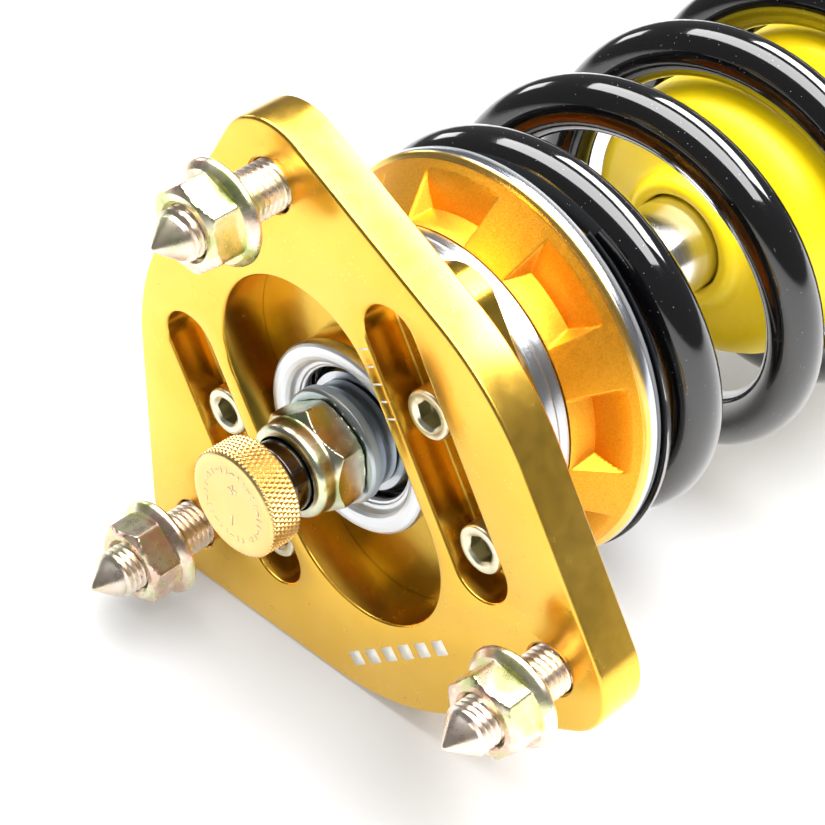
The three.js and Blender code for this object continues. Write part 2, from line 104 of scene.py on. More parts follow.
def mesh_at(name, verts, faces, place):
    """Mesh with its points taken from the local frame `place` to the row frame."""
    m = np.array(place)
    points = np.asarray(verts, float) @ m[:3, :3].T + m[:3, 3]
    mesh = bpy.data.meshes.new(name)
    mesh.from_pydata([tuple(p) for p in points], [], faces)
    return mesh


def make_object(name, verts, faces, place, material, body, replaces=(), smooth=35):
    mesh = mesh_at(name, verts, faces, place)
    mesh.validate()
    obj = linked(name, mesh)
    mesh.materials.append(material)
    fix_normals(mesh)
    mesh.shade_smooth()
    if smooth:
        mesh.set_sharp_from_angle(angle=math.radians(smooth))
    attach(obj, body)
    if replaces:
        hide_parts(*replaces)
    return obj


def fix_normals(mesh):
    bm = bmesh.new()
    bm.from_mesh(mesh)
    bmesh.ops.remove_doubles(bm, verts=bm.verts, dist=1e-7)
    bmesh.ops.recalc_face_normals(bm, faces=bm.faces)
    bm.to_mesh(mesh)
    bm.free()


def polar(rings, seg, closed=True, radius=None):
    """Grid of rings [(station, radius)] round X; radius(angle, station, r, index) may reshape each."""
    verts, faces, rows = [], [], []
    angles = [TAU * k / seg for k in range(seg)]
    for i, (a, r) in enumerate(rings):
        if r == 0:
            rows.append([len(verts)] * seg)
            verts.append((a, 0, 0))
            continue
        first = len(verts)
        for t in angles:
            q = radius(t, a, r, i) if radius else (a, r)
            verts.append((q[0], q[1] * math.cos(t), q[1] * math.sin(t)))
        rows.append([first + k for k in range(seg)])
    pairs = [(i, i + 1) for i in range(len(rings) - 1)] + ([(len(rings) - 1, 0)] if closed else [])
    for i, j in pairs:
        for k in range(seg):
            n = (k + 1) % seg
            quad = [rows[i][k], rows[j][k], rows[j][n], rows[i][n]]
            face = list(dict.fromkeys(quad))
            if len(face) > 2:
                faces.append(face)
    return verts, faces


def rounded(outline, radius=0.4, steps=3):
    """Closed [station, radius] outline with its corners off the axis rounded."""
    out = []
    n = len(outline)
    for i, (a, r) in enumerate(outline):
        p, q, s = (Vector(outline[(i + d) % n]) for d in (-1, 0, 1))
        if r <= 0:
            out.append((a, 0))
            continue
        before, after = (p - q), (s - q)
        lb, la = before.length, after.length
        if lb < 1e-6 or la < 1e-6:
            continue
        bend = math.pi - before.angle(after)
        if bend < math.radians(12):
            out.append((a, r))
            continue
        reach = min(radius * math.tan(bend / 2), lb * 0.45, la * 0.45)
        b, c = q + before * (reach / lb), q + after * (reach / la)
        for k in range(steps + 1):
            t = k / steps
            e = b.lerp(q, t).lerp(q.lerp(c, t), t)
            out.append((e.x, max(e.y, 0.0)))
    return out


def lathe(name, outline, material, body, replaces, seg=128, edge=0.4, place=None):
    verts, faces = polar(rounded(outline, edge), seg)
    return make_object(name, verts, faces, place or STRUT, material, body, replaces)


def outline_points(kind, grow):
    """Loops in the plate's plane: the outer edge, a slot, or a hole, grown by `grow`."""
    if kind == "outer":
        ro, rc = PLATE_RO + grow, PLATE_RC + grow
        spread = math.acos((PLATE_RO - PLATE_RC) / PLATE_RB)
        points = []
        for k in range(3):
            t = PLATE_TURN + TAU * k / 3
            cx, cy = STUDS[k]
            for i in range(33):
                u = t - spread + 2 * spread * i / 32
                points.append((cx + rc * math.cos(u), cy + rc * math.sin(u)))
            for i in range(1, 32):
                u = t + spread + (TAU / 3 - 2 * spread) * i / 32
                points.append((PLATE_DX + ro * math.cos(u), ro * math.sin(u)))
        return points
    x, y, length, r, seg = kind
    points = []
    for end in (1, -1):
        for i in range(seg + 1):
            t = math.pi * i / seg
            points.append((x + end * (r + grow) * math.cos(t),
                           y + end * (length / 2 + (r + grow) * math.sin(t))))
    return points


def circle_kind(x, y, r, seg=24):
    return (x, y, 0.0, r, seg)


def slab(outer, holes):
    """Plate with holes. outer and each hole is a list of (kind, grow, z) loops, top first."""
    bm = bmesh.new()

    def wall(levels):
        rows = []
        for kind, grow, z in levels:
            rows.append([bm.verts.new((x, y, z)) for x, y in outline_points(kind, grow)])
        for top, low in zip(rows, rows[1:]):
            n = len(top)
            for k in range(n):
                bm.faces.new((top[k], top[(k + 1) % n], low[(k + 1) % n], low[k]))
        return rows
    walls = [wall(outer)] + [wall(h) for h in holes]
    for row in (0, -1):
        loops = [rows[row] for rows in walls]
        flat = [v for loop in loops for v in loop]
        for tri in tessellate_polygon([[v.co for v in loop] for loop in loops]):
            bm.faces.new([flat[i] for i in tri])
    bmesh.ops.dissolve_degenerate(bm, dist=1e-6, edges=bm.edges)
    bm.verts.index_update()
    verts = [tuple(v.co) for v in bm.verts]
    faces = [[v.index for v in f.verts] for f in bm.faces]
    bm.free()
    return verts, faces


def rounded_edge(kind, z, depth, size, sign, steps=4):
    """Quarter-round edge levels from the face at z into the wall; sign is +1 outer, -1 for a hole."""
    levels = []
    for i in range(steps + 1):
        t = math.pi / 2 * i / steps
        levels.append((kind, -sign * size * (1 - math.sin(t)), z - depth * (1 - math.cos(t))))
    return levels


# ---- materials -------------------------------------------------------------------------------
def new_material(name, color, metallic, rough, **sockets):
    m = bpy.data.materials.new(name)
    m.use_nodes = True
    nt = m.node_tree
    b = nt.nodes["Principled BSDF"]
    b.inputs["Base Color"].default_value = (*color, 1)
    b.inputs["Metallic"].default_value = metallic
    b.inputs["Roughness"].default_value = rough
    for key, value in sockets.items():
        b.inputs[key.replace("_", " ")].default_value = value
    return m, nt, b


def node(nt, kind, inputs=None, **settings):
    n = nt.nodes.new(kind)
    for key, value in settings.items():
        setattr(n, key, value)
    for key, value in (inputs or {}).items():
        if isinstance(value, bpy.types.NodeSocket):
            nt.links.new(value, n.inputs[key])
        else:
            n.inputs[key].default_value = value
    return n


def object_coords(nt, scale=(1, 1, 1)):
    c = node(nt, "ShaderNodeTexCoord")
    inputs = {"Vector": c.outputs["Object"], "Scale": scale}
    return node(nt, "ShaderNodeMapping", inputs).outputs["Vector"]


def ramp(nt, value, stops):
    n = node(nt, "ShaderNodeValToRGB", {"Fac": value})
    els = n.color_ramp.elements
    while len(els) < len(stops):
        els.new(0.5)
    for el, (pos, col) in zip(els, stops):
        el.position = pos
        el.color = (*col, 1) if len(col) == 3 else col
    return n.outputs["Color"]


def noise(nt, vec, scale, detail=3, rough=0.5):
    return node(nt, "ShaderNodeTexNoise",
                {"Vector": vec, "Scale": scale, "Detail": detail, "Roughness": rough}).outputs["Fac"]


def bump(nt, height, strength, distance):
    inputs = {"Height": height, "Strength": strength, "Distance": distance}
    return node(nt, "ShaderNodeBump", inputs).outputs["Normal"]


def span(nt, value, low, high):
    inputs = {"Value": value, "To Min": low, "To Max": high}
    return node(nt, "ShaderNodeMapRange", inputs).outputs["Result"]


def specks(nt, vec, scale, size, bare=0.82):
    """Small dots, 1 on a dot and 0 elsewhere; bare is the share of cells without one."""
    v = node(nt, "ShaderNodeTexVoronoi", {"Vector": vec, "Scale": scale})
    near = node(nt, "ShaderNodeMath", {0: v.outputs["Distance"], 1: size}, operation="LESS_THAN")
    pick = node(nt, "ShaderNodeSeparateColor", {"Color": v.outputs["Color"]})
    rare = node(nt, "ShaderNodeMath", {0: pick.outputs["Red"], 1: bare}, operation="GREATER_THAN")
    both = node(nt, "ShaderNodeMath", {0: near.outputs[0], 1: rare.outputs[0]}, operation="MULTIPLY")
    return both.outputs[0]


def anodised(name, low, high, rough=0.3, grain=0.05, fleck=0.5):
    m, nt, b = new_material(name, low, 1.0, rough)
    vec = object_coords(nt)
    mix = ramp(nt, noise(nt, vec, 60, 4), [(0.35, low), (0.65, high)])
    dots = specks(nt, vec, 900, 0.12)
    col = node(nt, "ShaderNodeMix", {"Factor": dots, "A": mix, "B": (1.0, 0.9, 0.6, 1)},
               data_type="RGBA")
    faint = node(nt, "ShaderNodeMix", {"Factor": fleck, "A": mix, "B": col.outputs["Result"]},
                 data_type="RGBA")
    nt.links.new(faint.outputs["Result"], b.inputs["Base Color"])
    nt.links.new(span(nt, noise(nt, vec, 350, 2), rough - 0.05, rough + 0.07), b.inputs["Roughness"])
    nt.links.new(bump(nt, noise(nt, vec, 2500, 2), grain, 0.0001), b.inputs["Normal"])
    return m


def blasted(name, low, high, rough=0.42):
    m, nt, b = new_material(name, low, 1.0, rough)
    vec = object_coords(nt)
    mix = ramp(nt, noise(nt, vec, 2600, 2), [(0.3, low), (0.7, high)])
    nt.links.new(mix, b.inputs["Base Color"])
    nt.links.new(span(nt, noise(nt, vec, 900, 2), rough - 0.08, rough + 0.1), b.inputs["Roughness"])
    nt.links.new(bump(nt, noise(nt, vec, 3800, 3), 0.25, 0.0002), b.inputs["Normal"])
    return m


def plated(name, stops, rough, scale=90, wave=0.12):
    """Zinc passivate: two noises of different size drive the hue."""
    m, nt, b = new_material(name, stops[0][1], 1.0, rough)
    vec = object_coords(nt)
    slow = noise(nt, vec, scale, 3)
    broad = span(nt, noise(nt, vec, scale * 3.1, 2), -wave, wave)
    mixed = node(nt, "ShaderNodeMath", {0: slow, 1: broad}, operation="ADD").outputs[0]
    nt.links.new(ramp(nt, mixed, stops), b.inputs["Base Color"])
    nt.links.new(span(nt, noise(nt, vec, 500, 3), rough - 0.07, rough + 0.12), b.inputs["Roughness"])
    nt.links.new(bump(nt, noise(nt, vec, 1200, 2), 0.04, 0.0001), b.inputs["Normal"])
    return m


def machined(name, color, rough, stretch=(4000, 60, 60), strength=0.06):
    """Turned metal: fine lines round the strut's axis."""
    m, nt, b = new_material(name, color, 1.0, rough)
    lines = noise(nt, object_coords(nt, stretch), 1.0, 2)
    wide = noise(nt, object_coords(nt), 45, 3)
    tone = ramp(nt, wide, [(0.3, tuple(c * 0.9 for c in color)), (0.7, color)])
    nt.links.new(tone, b.inputs["Base Color"])
    nt.links.new(span(nt, lines, rough - 0.05, rough + 0.1), b.inputs["Roughness"])
    nt.links.new(bump(nt, lines, strength, 0.0001), b.inputs["Normal"])
    return m


def coated(name, color, rough, coat, dust, peel=0.06):
    """Lacquer with a little orange peel and, by dust, pale specks."""
    m, nt, b = new_material(name, color, 0.0, rough, Coat_Weight=coat, Coat_Roughness=0.03)
    vec = object_coords(nt)
    dots = specks(nt, vec, 1500, 0.11)
    amount = node(nt, "ShaderNodeMath", {0: dots, 1: dust}, operation="MULTIPLY").outputs[0]
    col = node(nt, "ShaderNodeMix", {"Factor": amount, "A": (*color, 1), "B": (0.8, 0.8, 0.78, 1)},
               data_type="RGBA")
    nt.links.new(col.outputs["Result"], b.inputs["Base Color"])
    nt.links.new(span(nt, noise(nt, vec, 120, 3), max(rough - 0.04, 0.02), rough + 0.06),
                 b.inputs["Roughness"])
    nt.links.new(bump(nt, noise(nt, vec, 260, 2), peel, 0.0003), b.inputs["Normal"])
    return m


def moulded(name, color, rough, mottled=0.93, grain=0.1):
    m, nt, b = new_material(name, color, 0.0, rough)
    vec = object_coords(nt)
    tone = ramp(nt, noise(nt, vec, 40, 3), [(0.3, tuple(c * mottled for c in color)), (0.7, color)])
    nt.links.new(tone, b.inputs["Base Color"])
    nt.links.new(span(nt, noise(nt, vec, 200, 3), rough - 0.05, rough + 0.08), b.inputs["Roughness"])
    nt.links.new(bump(nt, noise(nt, vec, 1500, 3), grain, 0.0001), b.inputs["Normal"])
    return m


GOLD = anodised("gold_anodised", (0.88, 0.53, 0.07), (0.93, 0.58, 0.095), 0.24)
KNOB_GOLD = anodised("knob_gold", (0.90, 0.62, 0.24), (0.94, 0.68, 0.30), 0.3)
ORANGE = blasted("orange_blasted", (0.82, 0.36, 0.02), (0.92, 0.46, 0.045))
CARRIER_GOLD = anodised("carrier_gold", (0.66, 0.42, 0.05), (0.74, 0.48, 0.07), 0.22)
ZINC = plated("yellow_zinc", [(0.30, (0.46, 0.52, 0.22)), (0.42, (0.80, 0.78, 0.42)),
                              (0.50, (0.94, 0.89, 0.64)), (0.58, (0.86, 0.60, 0.50)),
                              (0.68, (0.62, 0.63, 0.32))], 0.26)
ZINC_PINK = plated("stud_zinc", [(0.30, (0.66, 0.64, 0.42)), (0.43, (0.90, 0.74, 0.60)),
                                 (0.53, (0.94, 0.82, 0.72)), (0.66, (0.74, 0.72, 0.52))], 0.27)
ZINC_OLIVE = plated("nut_zinc", [(0.30, (0.26, 0.34, 0.16)), (0.42, (0.48, 0.56, 0.30)),
                                 (0.52, (0.72, 0.76, 0.54)), (0.62, (0.54, 0.48, 0.38)),
                                 (0.72, (0.36, 0.48, 0.24))], 0.22)
ZINC_PALE = plated("screw_zinc", [(0.30, (0.62, 0.60, 0.34)), (0.50, (0.88, 0.84, 0.64)),
                                  (0.70, (0.70, 0.62, 0.44))], 0.28)
# Darker zinc for the faces inside the hex socket: painted shade in the recess.
SOCKET_PAINTED_SHADE = plated("socket_painted_shade", [(0.35, (0.46, 0.42, 0.26)), (0.65, (0.62, 0.58, 0.40))], 0.35)
DISH = machined("white_zinc", (0.90, 0.92, 0.95), 0.42, strength=0.04)
STEEL = machined("turned_steel", (0.62, 0.64, 0.67), 0.2)
BLUE_STEEL = machined("blue_steel", (0.50, 0.56, 0.60), 0.3)
BRIGHT = machined("bright_rim", (0.56, 0.58, 0.62), 0.2)
CHROME = machined("hard_chrome", (0.90, 0.89, 0.87), 0.15, strength=0.02)
DARK = machined("black_oxide", (0.13, 0.11, 0.10), 0.14)
BLACK = coated("black_gloss", (0.002, 0.002, 0.0025), 0.1, 1.0, 0.4)
SATIN_BLACK = coated("black_satin", (0.012, 0.012, 0.013), 0.35, 0.3, 0.2, 0.15)
YELLOW = moulded("yellow_boot", (1.0, 0.74, 0.004), 0.4, 0.96)
BLACK_RUBBER = moulded("black_rubber", (0.025, 0.025, 0.027), 0.65)
GREY_RUBBER = moulded("grey_isolator", (0.16, 0.17, 0.18), 0.5)
BRONZE = machined("bearing_bronze", (0.60, 0.36, 0.14), 0.35)
SLEEVE = machined("sleeve_steel", (0.55, 0.56, 0.58), 0.3)
# Lighter gold for the spring seat's chamfer: a painted highlight along that edge.
CHAMFER_PAINTED_HIGHLIGHT = anodised("chamfer_painted_highlight", (0.93, 0.60, 0.14), (0.97, 0.66, 0.2), 0.22)
KNOB_MARK = moulded("engraved_mark", (0.93, 0.80, 0.50), 0.5)
PAINT = moulded("white_mark", (0.80, 0.77, 0.68), 0.5)


# ---- top plate -------------------------------------------------------------------------------
def build_top_plate():
    edge = 0.8
    bottom = -PLATE_T
    outer = rounded_edge("outer", 0, edge, edge, 1) + [
        ("outer", 0, bottom + edge), ("outer", -edge, bottom)]
    holes = []
    for side in (1, -1):
        wide = (side * SLOT_X, SLOT_Y, SLOT_LEN, SLOT_R, 24)
        thin = (side * SLOT_X, SLOT_Y, SLOT_LEN, SLOT_THRU, 24)
        holes.append(rounded_edge(wide, 0, 0.6, 0.6, -1, 3) + [
            (wide, 0, -LEDGE + 0.25), (wide, -0.25, -LEDGE), (thin, 0.3, -LEDGE),
            (thin, 0, -LEDGE - 0.3), (thin, 0, bottom)])
    big = (0.0, HOLE_Y, HOLE_LEN, HOLE_R, 48)
    holes.append(rounded_edge(big, 0, 0.6, 0.6, -1, 3) + [(big, 0, bottom)])
    for x, y in STUDS:
        hole = circle_kind(x, y, 5.15)
        holes.append([(hole, 0.4, 0), (hole, 0, -0.4), (hole, 0, -HEAD_SEAT), (hole, 2.15, -HEAD_SEAT),
                      (hole, 2.15, bottom)])
    verts, faces = slab(outer, holes)
    return make_object("plate", verts, faces, PLATE, GOLD, "top_mount", ("top_plate",), 30)


def thread_radius(root, crest, pitch):
    """Radius function of a single-start thread with blunt crests and roots."""
    depth = crest - root

    def radius(t, a, r, i):
        phase = (a / pitch - t / TAU) % 1.0
        tooth = 1 - abs(2 * phase - 1)
        lift = min(max((tooth - 0.12) / 0.76, 0.0), 1.0)
        return a, r - depth * (1 - lift)
    return radius


def threaded(name, closed, root, crest, pitch, first, last, place, material, body, replaces=(),
             seg=48, per=8, tip=(), tail=()):
    """A rod with a cut thread from station first to last; tip and tail are plain rings."""
    count = max(2, round((last - first) / pitch * per))
    rings = [(a, r, False) for a, r in tip]
    rings += [(first + (last - first) * i / count, crest, True) for i in range(count + 1)]
    rings += [(a, r, False) for a, r in tail]
    cut = thread_radius(root, crest, pitch)

    def radius(t, a, r, i):
        return cut(t, a, r, i) if rings[i][2] else (a, r)
    verts, faces = polar([(a, r) for a, r, _ in rings], seg, closed=closed, radius=radius)
    return make_object(name, verts, faces, place, material, body, replaces, 40)


def build_studs():
    tip = STUD_TIP
    for k, (x, y) in enumerate(STUDS):
        place = PLATE @ Matrix.Translation((x, y, 0)) @ INWARD @ Matrix.Rotation(STUD_STEP * k, 4, "X")
        cone = [(tip, 0), (tip + 0.1, 0.35), (tip + 0.35, 0.62), (tip + 4.4, 4.0), (tip + 4.8, 4.15)]
        tail = [(7.9, 4.7), (8.0, 7.0), (9.7, 7.0), (9.9, 6.8), (9.9, 0)]
        threaded(f"wheel_stud_{k + 1}", False, STUD_ROOT, STUD_CREST, STUD_PITCH, tip + 5.2, HEAD_SEAT,
                 place, ZINC_PINK, "top_mount", (f"stud_{k + 1}",), 64, 10, cone, tail)


def hex_radius(t, across, turn):
    """Radius of a hexagon with slightly rounded corners at angle t."""
    u = (t - turn) % (TAU / 6) - TAU / 12
    flat = across / 2 / math.cos(u)
    return min(flat, across / 2 / math.cos(TAU / 12) - 0.12)


def hex_ring_nut(name, rings, across, turn, place, material, body, replaces, seg=144):
    """rings: (station, radius, hexed). A hexed ring is the lesser of the cone and the hexagon."""
    def radius(t, a, r, i):
        return (a, min(r, hex_radius(t, across, turn))) if rings[i][2] else (a, r)
    verts, faces = polar([(a, r) for a, r, _ in rings], seg, True, radius)
    return make_object(name, verts, faces, place, material, body, replaces, 28)


def build_flange_nuts():
    """Stations run inward, so the flange sits at -height and the nut's top is further out."""
    for k, (x, y) in enumerate(STUDS):
        seat = -NUT_HEIGHTS[k]
        top = seat - NUT_TALL
        corner = NUT_ACROSS / math.sqrt(3)
        rings = [(top + 0.9, 5.0, False), (top, 5.75, False), (top, 7.0, True)]
        rings += [(top + 0.25 * i, 7.0 + 0.42 * i, True) for i in range(1, 7)]
        rings += [(top + 3, corner, True), (top + 5.6, corner, True), (top + 6.2, corner, True)]
        rings += [(top + 6.3, 8.75, False), (top + 7.3, 9.7, False), (top + 7.8, 9.95, False),
                  (top + 8.3, 10, False), (top + 8.7, 9.8, False), (top + NUT_TALL, 9.5, False),
                  (top + NUT_TALL, 5.6, False), (top + 8.2, 5.0, False)]
        place = PLATE @ Matrix.Translation((x, y, 0)) @ INWARD
        hex_ring_nut(f"serrated_nut_{k + 1}", rings, NUT_ACROSS, math.radians(NUT_TURNS[k]), place,
                     ZINC, "top_mount", (f"flange_nut_{k + 1}",))



# ---- screws, bearing and dish ----------------------------------------------------------------
def build_clamp_screws():
    for k, (x, y) in enumerate(SCREWS):
        place = PLATE @ Matrix.Translation((x, y, 0)) @ INWARD
        # top rim in, hexagon socket down, back out over the head and down the shank
        rings = [(1.6, 3.45, 0), (1.6, 4.25, 0), (1.68, 4.6, 0), (1.95, 4.82, 0), (2.3, 4.9, 0),
                 (7.4, 4.9, 0), (7.6, 4.75, 0), (7.6, 2.95, 0), (19.4, 2.95, 0), (19.4, 0, 0),
                 (5.2, 0, 0), (4.9, 2.0, 1), (4.8, SOCKET_RING, 1), (2.2, SOCKET_RING, 1),
                 (1.75, 3.15, 0)]
        turn = math.radians(10 + 23 * k)

        def radius(t, a, r, i):
            return (a, hex_radius(t, SOCKET_ACROSS, turn) * r / SOCKET_RING) if rings[i][2] else (a, r)
        verts, faces = polar([(a, r) for a, r, _ in rings], 96, True, radius)
        screw = make_object(f"cap_screw_{k + 1}", verts, faces, place, ZINC_PALE, "carrier_group",
                            (f"clamp_screw_{k + 1}",), 30)
        screw.data.materials.append(SOCKET_PAINTED_SHADE)
        # The faces inside the socket take the darker zinc, a painted shade in the recess.
        back = place.inverted()
        for p in screw.data.polygons:
            c = back @ p.center
            if 2.25 < c.x < 6.3 and math.hypot(c.y, c.z) < SOCKET_RING:
                p.material_index = 1


def build_bearing():
    place = PLATE @ Matrix.Translation((0, BEARING_Y, 0)) @ INWARD
    lathe("dish", [(6.9, 19.2), (5.3, 19.45), (4.6, 19.25), (4.2, 18.7), (4.1, 17.8), (4.2, 16.8),
                   (4.5, 16.0), (5.1, 15.4), (6.0, 15.1), (6.2, 14.9), (6.2, 14.2), (6.7, 14.1),
                   (6.7, 13.6), (7.6, 13.5), (8.1, 13.9), (7.9, 15.2), (6.6, 16.6), (6.9, 18.3)],
          DISH, "carrier_group", ("retainer_dish",), 160, 0.25, place)
    lathe("race", [(10.6, 15.9), (10.6, 17.0), (19.4, 17.0), (19.4, 13.7), (17, 14.2), (15, 14.3),
                   (13, 14.2), (10.6, 13.65)], STEEL, "carrier_group", ("ball_race",), 128, 0.3, place)
    offsets = [-BALL_HALF + 2 * BALL_HALF * i / 24 for i in range(25)]
    ball_rings = [(BALL_AT + u, math.sqrt(BALL_R ** 2 - u ** 2)) for u in offsets]
    bore = [(BALL_AT + side * BALL_HALF, 7.3) for side in (-1, 1)]
    verts, faces = polar([bore[0], *ball_rings, bore[1]], 128)
    make_object("swivel_ball", verts, faces, STRUT, STEEL, "rod_group", ("pillow_ball",), 40)
    lathe("spacer", [(0.3, 7.3), (0.3, 11.0), (0.9, 11.5), (2.5, 11.5), (3.1, 11.1), (4.4, 10.4),
                     (7.2, 10.4), (7.2, 7.3)], BLUE_STEEL, "rod_group", ("upper_spacer",), 128, 0.3)


def build_top_nut():
    rings = [(-10.3, 7.35, 0), (-10.3, 7.9, 0), (-10.2, 8.35, 0), (-9.9, 8.8, 0), (-9.4, 9.1, 0),
             (-8.8, 9.25, 0), (-7.2, 9.3, 0), (-6.6, 9.35, 0), (-6.35, 9.5, 0)]
    rings += [(-6.3 + 0.2 * i, 9.55 + 0.19 * i, 1) for i in range(9)]
    rings += [(-1.0, 11.0, 1), (-0.5, 10.7, 1), (-0.1, 10.1, 1), (0, 9.6, 0), (0, 7.6, 0), (-0.4, 7.35, 0)]
    hex_ring_nut("rod_nut", rings, ROD_NUT_ACROSS, math.radians(ROD_NUT_TURN), STRUT, ZINC_OLIVE, "rod_group",
                 ("top_nut",), 192)



def build_rod():
    end = lathe("rod_end", [(-14.6, 2.3), (-14.6, 5.9), (-14.3, 6.5), (-13.6, 6.9), (-12.6, 6.95),
                            (7.6, 6.95), (7.8, 6.6), (7.8, 2.3)], DARK, "rod_group", (), 128, 0.4)
    lathe("rod", [(8.2, 2.3), (8.2, 6.9), (23.9, 6.9), (23.9, 9.6), (24.3, 10), (241.4, 10),
                  (242, 9.5), (242, 6), (264, 6), (264, 2.3)], CHROME, "rod_group", ("piston_rod",),
          128, 0.3)


def build_knob():
    face, back, r0, cut = -23.05, -15.85, 10.55, 0.42
    teeth = 66
    lean = 1.85

    def radius(t, a, r, i):
        if not knurled[i]:
            return a, r
        u = (teeth * t / TAU + a / lean) % 1.0
        v = (teeth * t / TAU - a / lean) % 1.0
        ridge = max(abs(2 * u - 1), abs(2 * v - 1))
        return a, r - cut * min(max((ridge - 0.25) * 1.35, 0.0), 1.0)
    rings = [(face + 0.05, 0), (face + 0.05, 8.2), (face, 8.35), (face, 9.5), (face + 0.12, 9.85),
             (face + 0.4, 10.1)]
    knurled = [False] * len(rings)
    steps = 56
    for i in range(steps + 1):
        rings.append((face + 0.6 + (back - face - 1.2) * i / steps, r0))
        knurled.append(True)
    tail = [(back - 0.4, 10.1), (back - 0.05, 9.7), (back, 9.2), (back, 2.5), (-20.2, 2.5), (-20.2, 0)]
    rings += tail
    knurled += [False] * len(tail)
    verts, faces = polar(rings, teeth * 12, True, radius)
    make_object("knob", verts, faces, STRUT, KNOB_GOLD, "adjuster", ("adjuster_knob",), 50)


def flat_mark(name, shapes, place, body, material):
    """Marks just above the plane z = 0; each shape is (x, y, width, height, turn)."""
    verts, faces = [], []
    for x, y, w, h, turn in shapes:
        c, s = math.cos(turn), math.sin(turn)
        for z in (0.004, 0.03):
            for dx, dy in ((-w, -h), (w, -h), (w, h), (-w, h)):
                verts.append((x + (dx * c - dy * s) / 2, y + (dx * s + dy * c) / 2, z))
        n = len(verts) - 8
        faces += [(n, n + 3, n + 2, n + 1), (n + 4, n + 5, n + 6, n + 7)]
        faces += [(n + k, n + (k + 1) % 4, n + 4 + (k + 1) % 4, n + 4 + k) for k in range(4)]
    make_object(name, verts, faces, place, material, body, (), 0)


def build_marks():
    ticks = [(21.9, 22.6 - 3.35 * k, 2.6 if k % 2 == 0 else 1.8, 0.34, 0) for k in range(5)]
    flat_mark("camber_scale", ticks, PLATE, "top_mount", PAINT)
    badge = [(-17.0 + 5.4 * k, -41.6 + 0.9 * k, 3.4, 3.0, 0.165) for k in range(6)]
    flat_mark("plain_mark", badge, PLATE, "top_mount", PAINT)
    knob_face = STRUT @ Matrix.Translation((-23.06, 0, 0)) @ Matrix.Rotation(-math.pi / 2, 4, "Y")
    dial = []
    for k in range(30):
        t = math.radians(12 * k)
        turn = t + math.pi / 2 - math.pi / 2 * (k % 3 == 0)
        dial.append((6.9 * math.cos(t), 6.9 * math.sin(t), 0.28, 1.1, turn))
    dial += [(3.4, 0, 2.2, 0.35, 0), (3.4, 0, 0.35, 2.2, 0), (-3.4, 0, 2.2, 0.35, 0)]
    flat_mark("knob_dial", dial, knob_face, "adjuster", KNOB_MARK)


# ---- thrust bearing and spring seat -------------------------------------------------------------
def build_seat():
    lathe("silver_ring", [(24, 10.3), (24, 30.6), (24.5, 31.3), (24.9, 31.5), (26.9, 31.5),
                          (27.05, 31.2), (27.2, 31.5), (29.4, 31.5), (29.7, 31.2), (29.7, 29.3),
                          (27.4, 29.3), (27.4, 10.3)], STEEL, "rod_group", ("thrust_housing",),
          192, 0.12)
    # the cone that carries the pockets, from inner to outer; first and last bound them along it
    inner, outer, first, last = (30.05, 31.3), (39.2, 40.2), 0.015, 0.87
    depth, split, side_slope = 4.9, 0.08, 3.2
    steps = 60

    def soft_min(a, b, k):
        h = min(max(0.5 + 0.5 * (b - a) / k, 0), 1)
        return b + (a - b) * h - k * h * (1 - h)

    def radius(t, a, r, i):
        if not on_cone[i]:
            return a, r
        s = (i - first_cone) / steps
        step = TAU / POCKETS
        away = abs((t - POCKET_TURN + step / 2) % step - step / 2)
        side = (POCKET_HALF - away) * r * side_slope
        if s < first or s > last:
            return a, r
        run = (s - first) / (last - first)
        floor = depth * (run / split if run < split else ((1 - run) / (1 - split)) ** 1.25)
        return a + max(soft_min(floor, side, 0.35), 0.0), r
    rings = [(36.5, 11.5), (31.5, 11.5), (31.2, 11.9), (30.2, 30.6), (30.05, 31.0)]
    on_cone = [False] * len(rings)
    first_cone = len(rings)
    for i in range(steps + 1):
        f = i / steps
        rings.append((inner[0] + (outer[0] - inner[0]) * f, inner[1] + (outer[1] - inner[1]) * f))
        on_cone.append(True)
    tail = [(39.3, 40.35), (39.5, 40.65), (39.8, 41.0), (40.2, 41.3), (40.6, 41.4), (41.8, 41.4),
            (42.0, 41.3), (42.1, 41.0), (42.15, 40.5),
            (42.15, 31.4), (42.5, 30.7), (43, 30.4), (51.4, 30.2), (51.9, 29.8), (52, 29.2),
            (52, 27.9), (51.7, 27.4), (42, 27.4), (36.5, 23)]
    rings += tail
    on_cone += [False] * len(tail)
    verts, faces = polar(rings, 960, True, radius)
    seat = make_object("spring_seat", verts, faces, STRUT, ORANGE, "seat_carriage", ("upper_seat",), 46)
    seat.data.materials.append(BRIGHT)
    seat.data.materials.append(CHAMFER_PAINTED_HIGHLIGHT)
    edge = STRUT @ Vector((40.25, 0, 0))
    back = STRUT @ Vector((42.12, 0, 0))
    # The bevel's faces get the lighter gold, a painted highlight along the chamfer; the rim's side faces get
    # the bright machined metal.
    bevel = STRUT @ Vector((39.15, 0, 0))
    for p in seat.data.polygons:
        c = p.center
        reach = math.hypot(c.y - AXIS.y, c.z - AXIS.z)
        if edge.x < c.x < back.x and reach > 40.9 * MM:
            p.material_index = 1
        elif bevel.x < c.x < edge.x and reach > 40.2 * MM:
            p.material_index = 2
    lathe("isolator", [(42.5, 31.6), (42.5, 40.7), (42.75, 41), (43.2, 41), (43.4, 40.7), (43.4, 31.6)],
          GREY_RUBBER, "seat_carriage", ("seat_isolator",), 192, 0.2)


# ---- spring and boot ----------------------------------------------------------------------------
SPRING = {"from": 43.8, "to": 233.8, "mean": 36.5, "wire": 5.5, "turns": 7.8, "tip": 118.0}
SPRING_CLOSED, SPRING_EASE = 0.85, 0.3
SPRING_DEAD = 2 * SPRING["wire"] + 0.35     # stations per turn where the coil is closed
SPRING_GROUND = 0.72                        # share of a closed turn ground off at each end


